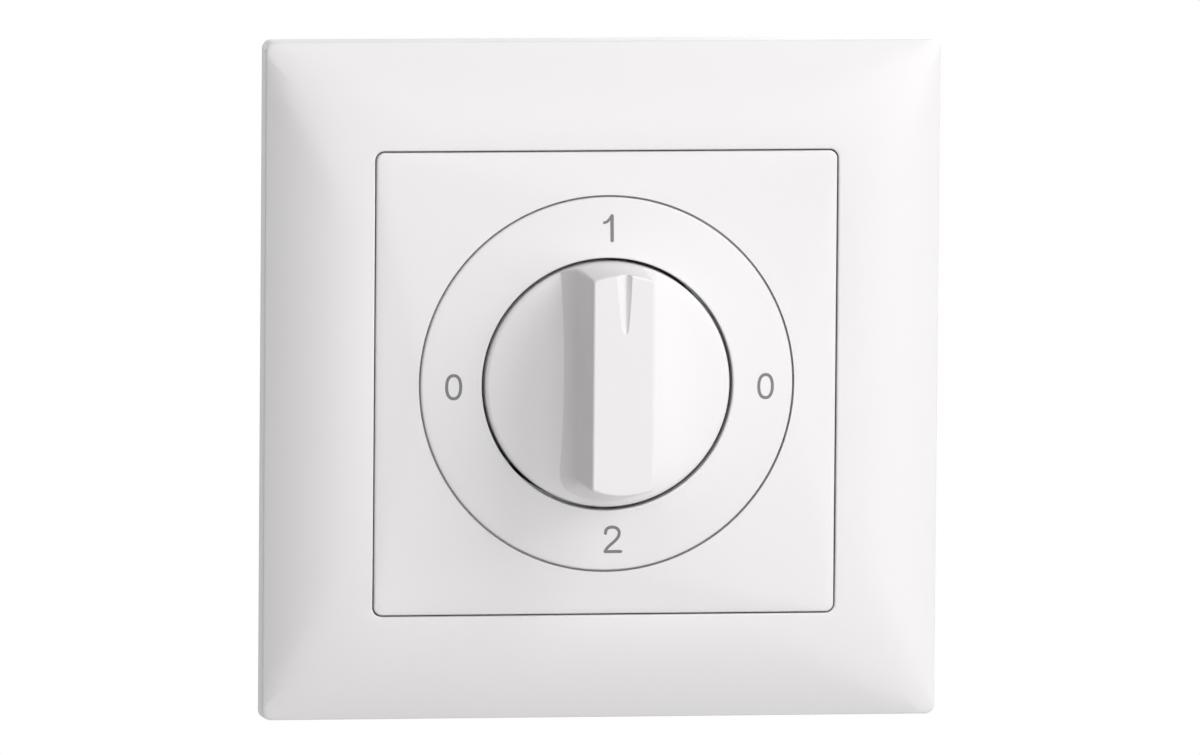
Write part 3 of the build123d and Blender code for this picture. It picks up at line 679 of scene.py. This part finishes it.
def barOutline(grow, height):
    # straight sides, bowed ends and rounded corners, widened all round
    half, corner, radius = knob["barWidth"] / 2 + grow, knob["corner"] + grow, knob["endRadius"]
    reach = asin((half - corner) / (radius - corner))
    bowed, steps = knob["endSteps"], knob["endSteps"] + knob["cornerSteps"]
    points = []
    for centre, sign in ((knob["pointer"] + grow - radius, 1), (-(knob["tail"] + grow - radius), -1)):
        for step in range(-steps, steps + 1):
            side = -1 if step > 0 else 1
            if abs(step) > bowed:
                turned = reach + (pi / 2 - reach) * (abs(step) - bowed) / knob["cornerSteps"]
                across = half - corner + corner * sin(turned)
                up = (radius - corner) * cos(reach) + corner * cos(turned)
            else:
                turned = reach * abs(step) / bowed
                across, up = radius * sin(turned), radius * cos(turned)
            points.append((sign * side * across, -height, centre + sign * up))
    return points


def barFoot(turn):
    # the bar's outline at a step round its flared foot
    turned, last = radians(turn), radians(knob["flareTurns"][-1])
    points = []
    for index, (x, _, z) in enumerate(barOutline(0, 0)):
        height = domeHeight(sqrt(x ** 2 + z ** 2)) + knob["flare"] * (sin(last) - sin(turned))
        spread = (knob["top"] - height) * tan(radians(knob["draft"])) + knob["flare"] * (1 - cos(turned))
        x, _, z = barOutline(spread, 0)[index]
        points.append((x, -height, z))
    return points


def carve(piece, tool, operation):
    pick(piece)
    cut = piece.modifiers.new("cut", "BOOLEAN")
    cut.operation = operation
    cut.object = tool
    cut.solver = "EXACT"
    bpy.ops.object.modifier_apply(modifier=cut.name)
    bpy.data.objects.remove(tool, do_unlink=True)


# The marker is a groove that narrows to a blunt tip, soft on its left side and crisp on its right.
mark = {
    "length": 7.6 * mm, "left": 1.38 * mm, "right": 0.76 * mm, "depth": 0.75 * mm, "shift": 0.28 * mm,
    "lip": 0.004 * mm, "above": 0.3 * mm, "crispness": 1.5,
    # shares of the half width across, and every so many of them stands above the face too
    "across": (-1.0, -0.85, -0.65, -0.45, -0.25, -0.1, 0.05, 0.25, 0.5, 0.75, 1.0), "aboveEach": 5,
    # shares of the length from the tip, with the share of the full width there
    "taper": ((0.0, 0.05), (0.01, 0.2), (0.03, 0.31), (0.07, 0.41), (0.14, 0.5), (0.3, 0.63),
              (0.6, 0.82), (1.0, 1.0), (1.15, 1.06)),
}


def grooveDepth(share):
    # the depth across the groove: a soft slope on the left and a steep one on the right
    if share < 0:
        part = 1 - abs(share)
        return 0.5 * part + 0.5 * part * part * (3 - 2 * part)
    return 1 - share ** mark["crispness"]


def markSection(along, width):
    z = knob["pointer"] - mark["length"] * (1 - along)

    def point(share, height):
        reach = mark["left"] if share < 0 else mark["right"]
        return (mark["shift"] + share * reach * width, -knob["top"] - height, z)
    full = mark["depth"] * width
    points = [point(share, mark["lip"] - grooveDepth(share) * full) for share in mark["across"]]
    return points + [point(share, mark["above"]) for share in mark["across"][::-mark["aboveEach"]]]


def makeDisc():
    edge = domeHeight(face["discRadius"])
    bottom = edge - knob["discDepth"]
    ceiling = edge - knob["discWall"]
    radius, softness = face["discRadius"] - face["discEase"], face["discRound"]
    points = domePoints(0, radius - softness, profileSteps["disc"]) + roundedRim(radius, softness, 1)
    points += [(radius, -bottom, 0), (radius - knob["skirt"], -bottom, 0),
               (radius - knob["skirt"], -ceiling, 0), (0, -ceiling, 0)]
    disc = drawLine("knobCover", points)
    spinLine(disc)
    mergeDoubles(joining["piece"])
    faceOutwards()
    bpy.ops.object.mode_set(mode="OBJECT")
    return disc


def makeBar():
    # the bar widens towards the disc by its draft and ends in a flared foot
    sections = [barOutline(0, knob["top"])] + [barFoot(turn) for turn in knob["flareTurns"]]
    sections.append([(x, y + knob["sink"], z) for x, y, z in sections[-1]])
    bar = loft("bar", sections)
    highest = knob["softDepth"] - knob["top"]
    selectEdges(bar, lambda edge: edge.calc_face_angle() > radians(knob["softAngle"])
                and min(vertex.co.y for vertex in edge.verts) < highest)
    bpy.ops.mesh.bevel(offset=knob["softness"], segments=knob["softSteps"], profile=0.5, affect="EDGES")
    bpy.ops.object.mode_set(mode="OBJECT")
    return bar


def makeRim():
    # a cylinder that the bar's foot is trimmed to
    bpy.ops.object.select_all(action="DESELECT")
    bpy.ops.mesh.primitive_cylinder_add(
        vertices=turnSteps, radius=face["discRadius"] - face["discEase"] - knob["rimSpare"],
        depth=knob["rimTo"] - knob["rimFrom"], location=(0, -(knob["rimFrom"] + knob["rimTo"]) / 2, 0),
        rotation=(pi / 2, 0, 0))
    bpy.ops.object.transform_apply(location=True, rotation=True, scale=True)
    return bpy.context.object


def makeKnob():
    disc = makeDisc()
    bar = makeBar()
    carve(bar, makeRim(), "INTERSECT")
    marker = loft("markCutter", [markSection(*place) for place in mark["taper"]])
    bpy.ops.object.mode_set(mode="OBJECT")
    carve(bar, marker, "DIFFERENCE")
    carve(disc, bar, "UNION")
    smoothAndPlace(disc, "knob", knob["smoothAngle"])


makeKnob()
print("knob modelled")

# Digits printed on the scale ring, in grey. Places are in millimetres, across and up from the knob's axis.
digits = {
    "stroke": 0.40 * mm, "stem": 0.46 * mm, "flag": 0.36 * mm,
    "lift": 0.012 * mm, "upperLift": 0.016 * mm, "sink": 0.04 * mm,
    "curveSteps": 6, "endSteps": 8, "zeroSteps": 56,
    "zeroHalfWidth": 0.90 * mm, "zeroHalfHeight": 1.50 * mm, "zeroSquareness": 2.3,
    "leftZero": (-20.02, -0.24), "rightZero": (20.66, -0.42),
    "oneStem": [(0.45, 21.80), (0.45, 18.64)],
    "oneFlag": [(-0.56, 20.94), (-0.22, 21.06), (0.14, 21.40), (0.42, 21.82)],
    "twoHook": [(-0.10, -19.38), (-0.03, -18.94), (0.29, -18.65), (0.78, -18.57), (1.27, -18.68),
                (1.60, -19.01), (1.68, -19.42), (1.55, -19.88), (1.20, -20.33), (0.62, -20.86),
                (0.14, -21.34), (-0.11, -21.78)],
    "twoBase": [(-0.11, -21.79), (1.93, -21.79)],
}


def curvePlace(a, b, c, d, t):
    # between b and c, on a curve that bends evenly at each point
    bend = 2 * a - 5 * b + 4 * c - d
    twist = 3 * b - a - 3 * c + d
    return 0.5 * (2 * b + (c - a) * t + bend * t ** 2 + twist * t ** 3)


def smoothPath(points):
    path = []
    ends = [points[0]] + list(points) + [points[-1]]
    for four in zip(ends, ends[1:], ends[2:], ends[3:]):
        for step in range(digits["curveSteps"]):
            share = step / digits["curveSteps"]
            path.append([curvePlace(*values, share) for values in zip(*four)])
    return path + [points[-1]]


def onDome(x, z, lift):
    return (x, -(domeHeight(sqrt(x ** 2 + z ** 2)) + lift), z)


def roundEnd(centre, start, sign):
    # half a turn from one side of a stroke to the other
    spoke = start - centre
    points = []
    for step in range(1, digits["endSteps"]):
        turned = sign * pi * step / digits["endSteps"]
        x = spoke.x * cos(turned) - spoke.y * sin(turned)
        z = spoke.x * sin(turned) + spoke.y * cos(turned)
        points.append(centre + Vector((x, z)))
    return points


def strokeOutline(path, width):
    # both sides of a path, with round ends
    path = [Vector((x * mm, z * mm)) for x, z in path]
    left, right = [], []
    for index, point in enumerate(path):
        ahead = path[min(index + 1, len(path) - 1)] - path[max(index - 1, 0)]
        side = Vector((-ahead.y, ahead.x)).normalized() * width / 2
        left.append(point + side)
        right.append(point - side)
    return left + roundEnd(path[-1], left[-1], -1) + right[::-1] + roundEnd(path[0], right[0], -1)


def thicken(piece):
    # the print goes a little way into the ring, so that it is closed
    bpy.ops.mesh.extrude_region()
    shapeSelected(piece, lambda point: point + Vector((0, digits["sink"], 0)))
    faceOutwards()
    bpy.ops.object.mode_set(mode="OBJECT")


def printStroke(name, points, width, lift):
    outline = strokeOutline(smoothPath(points), width)
    piece = drawLoop(name, [onDome(point.x, point.y, lift) for point in outline])
    bpy.ops.mesh.edge_face_add()
    thicken(piece)
    return piece


def zeroLoop(place, grow):
    # an oval that is a little squarer than an ellipse
    power = 2 / digits["zeroSquareness"]
    points = []
    for step in range(digits["zeroSteps"]):
        turned = 2 * pi * step / digits["zeroSteps"]
        across, up = cos(turned), sin(turned)
        x = (digits["zeroHalfWidth"] + grow) * abs(across) ** power * (1 if across > 0 else -1)
        z = (digits["zeroHalfHeight"] + grow) * abs(up) ** power * (1 if up > 0 else -1)
        points.append(onDome(place[0] * mm + x, place[1] * mm + z, digits["lift"]))
    return points


def printZero(name, place):
    # a loop widened inwards to a band
    half = digits["stroke"] / 2
    outer, inner = zeroLoop(place, half), zeroLoop(place, -half)
    piece = drawLoop(name, outer)
    extendLoop(piece, follow(outer, inner))
    bpy.ops.mesh.select_all(action="SELECT")
    thicken(piece)
    return piece


def makeDigits():
    # of two strokes that cross, one lies a little higher
    pieces = [
        printStroke("one", digits["oneStem"], digits["stem"], digits["lift"]),
        printStroke("oneFlag", digits["oneFlag"], digits["flag"], digits["upperLift"]),
        printStroke("two", digits["twoHook"], digits["stroke"], digits["lift"]),
        printStroke("twoBase", digits["twoBase"], digits["stroke"], digits["upperLift"]),
        printZero("zeroLeft", digits["leftZero"]),
        printZero("zeroRight", digits["rightZero"]),
    ]
    bpy.ops.object.select_all(action="DESELECT")
    for piece in pieces:
        piece.select_set(True)
    bpy.context.view_layer.objects.active = pieces[0]
    bpy.ops.object.join()
    joined = bpy.context.object
    joined.name = joined.data.name = "scaleDigits"
    paint(joined, greyInk)
    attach(joined, "insert")


makeDigits()
print("digits printed")

# The camera stands to the upper left with a long lens, as fitted to the photograph.
camera = {
    "azimuth": -8.18, "elevation": 6.37, "roll": 0.459, "distance": 2.5, "clipEnd": 20,
    "aim": (-0.00088, -0.008, 0.0008), "millimetreInPixels": 7.747, "frameWidth": 1200, "sensorWidth": 36,
}


def placeCamera(s):
    azimuth, elevation = radians(s["azimuth"]), radians(s["elevation"])
    forward = Vector((-sin(azimuth) * cos(elevation), cos(azimuth) * cos(elevation), -sin(elevation)))
    lens = bpy.data.cameras.new("camera")
    lens.sensor_width = s["sensorWidth"]
    lens.lens = s["sensorWidth"] * s["millimetreInPixels"] * s["distance"] / mm / s["frameWidth"]
    lens.clip_end = s["clipEnd"]
    eye = bpy.data.objects.new("camera", lens)
    eye.location = Vector(s["aim"]) - forward * s["distance"]
    eye.rotation_euler = forward.to_track_quat("-Z", "Y").to_euler()
    eye.rotation_euler.rotate_axis("Z", radians(s["roll"]))
    bpy.context.scene.collection.objects.link(eye)
    bpy.context.scene.camera = eye


placeCamera(camera)

# Square soft boxes to the right, above and beside the camera, and two behind
lightSide = 0.6
lights = {
    "keyLight": {"place": (0.62, -0.72, 0.12), "power": 2.1},
    "upperLight": {"place": (0.60, -0.50, 0.58), "power": 3.8},
    "overheadLight": {"place": (0.10, -0.12, 0.98), "power": 0.8},
    "cornerLight": {"place": (0.45, -0.25, 0.85), "power": 1.7},
    "frontLight": {"place": (0.0, -0.97, 0.12), "power": 2.5},
    "leftLight": {"place": (-0.40, -0.75, 0.50), "power": 1.0},
    "rearRight": {"place": (0.45, 0.85, 0.40), "power": 3.6},
    "rearLeft": {"place": (-0.60, 0.75, 0.30), "power": 2.2},
}


def placeLight(name, s):
    lamp = bpy.data.lights.new(name, "AREA")
    lamp.shape = "SQUARE"
    lamp.size = lightSide
    lamp.energy = s["power"]
    holder = bpy.data.objects.new(name, lamp)
    holder.location = s["place"]
    holder.rotation_euler = (-Vector(s["place"])).to_track_quat("-Z", "Y").to_euler()
    bpy.context.scene.collection.objects.link(holder)


for name, settings in lights.items():
    placeLight(name, settings)

# A pale round floor well below the switch, which hangs as if on its wall box
floor = {
    "radius": 0.75, "drop": 0.30, "sides": 128, "color": (0.8, 0.8, 0.8), "roughness": 0.7,
    "grainScale": 400, "detail": 2, "grainStrength": 0.05, "grainHeight": 0.2 * mm,
}
bpy.ops.object.select_all(action="DESELECT")
bpy.ops.mesh.primitive_circle_add(
    vertices=floor["sides"], radius=floor["radius"], fill_type="NGON", location=(0, 0, -floor["drop"]))
ground = bpy.context.object
ground.name = "floor"
bpy.ops.object.transform_apply(location=True, rotation=True, scale=True)
floorFinish = Finish("paleFloor", floor["color"], floor["roughness"])
floorGrain = floorFinish.noise(floorFinish.place(), floor["grainScale"], floor["detail"])
floorFinish.bump(floorGrain, floor["grainStrength"], floor["grainHeight"])
paint(ground, floorFinish.material)

# White where it is seen, and a weaker fill on the object
room = {"white": 1.0, "fill": 0.09}
world = bpy.data.worlds.new("room")
bpy.context.scene.world = world
world.use_nodes = True
sky = world.node_tree
background = sky.nodes["Background"]
background.inputs["Color"].default_value = (1, 1, 1, 1)
seen = addNode(sky, "ShaderNodeLightPath", {}, {}, "Is Camera Ray")
rays = seen.socket.node
for kind in ("Is Glossy Ray", "Is Transmission Ray"):
    seen = seen.join("MAXIMUM", Value(sky, rays.outputs[kind]))
# sockets 2 and 3 of a Mix node are its two values
strength = addNode(sky, "ShaderNodeMix", {}, {0: seen, 2: room["fill"], 3: room["white"]})
sky.links.new(strength.socket, background.inputs["Strength"])
bpy.context.scene.view_settings.view_transform = "Standard"
print("camera and light placed")
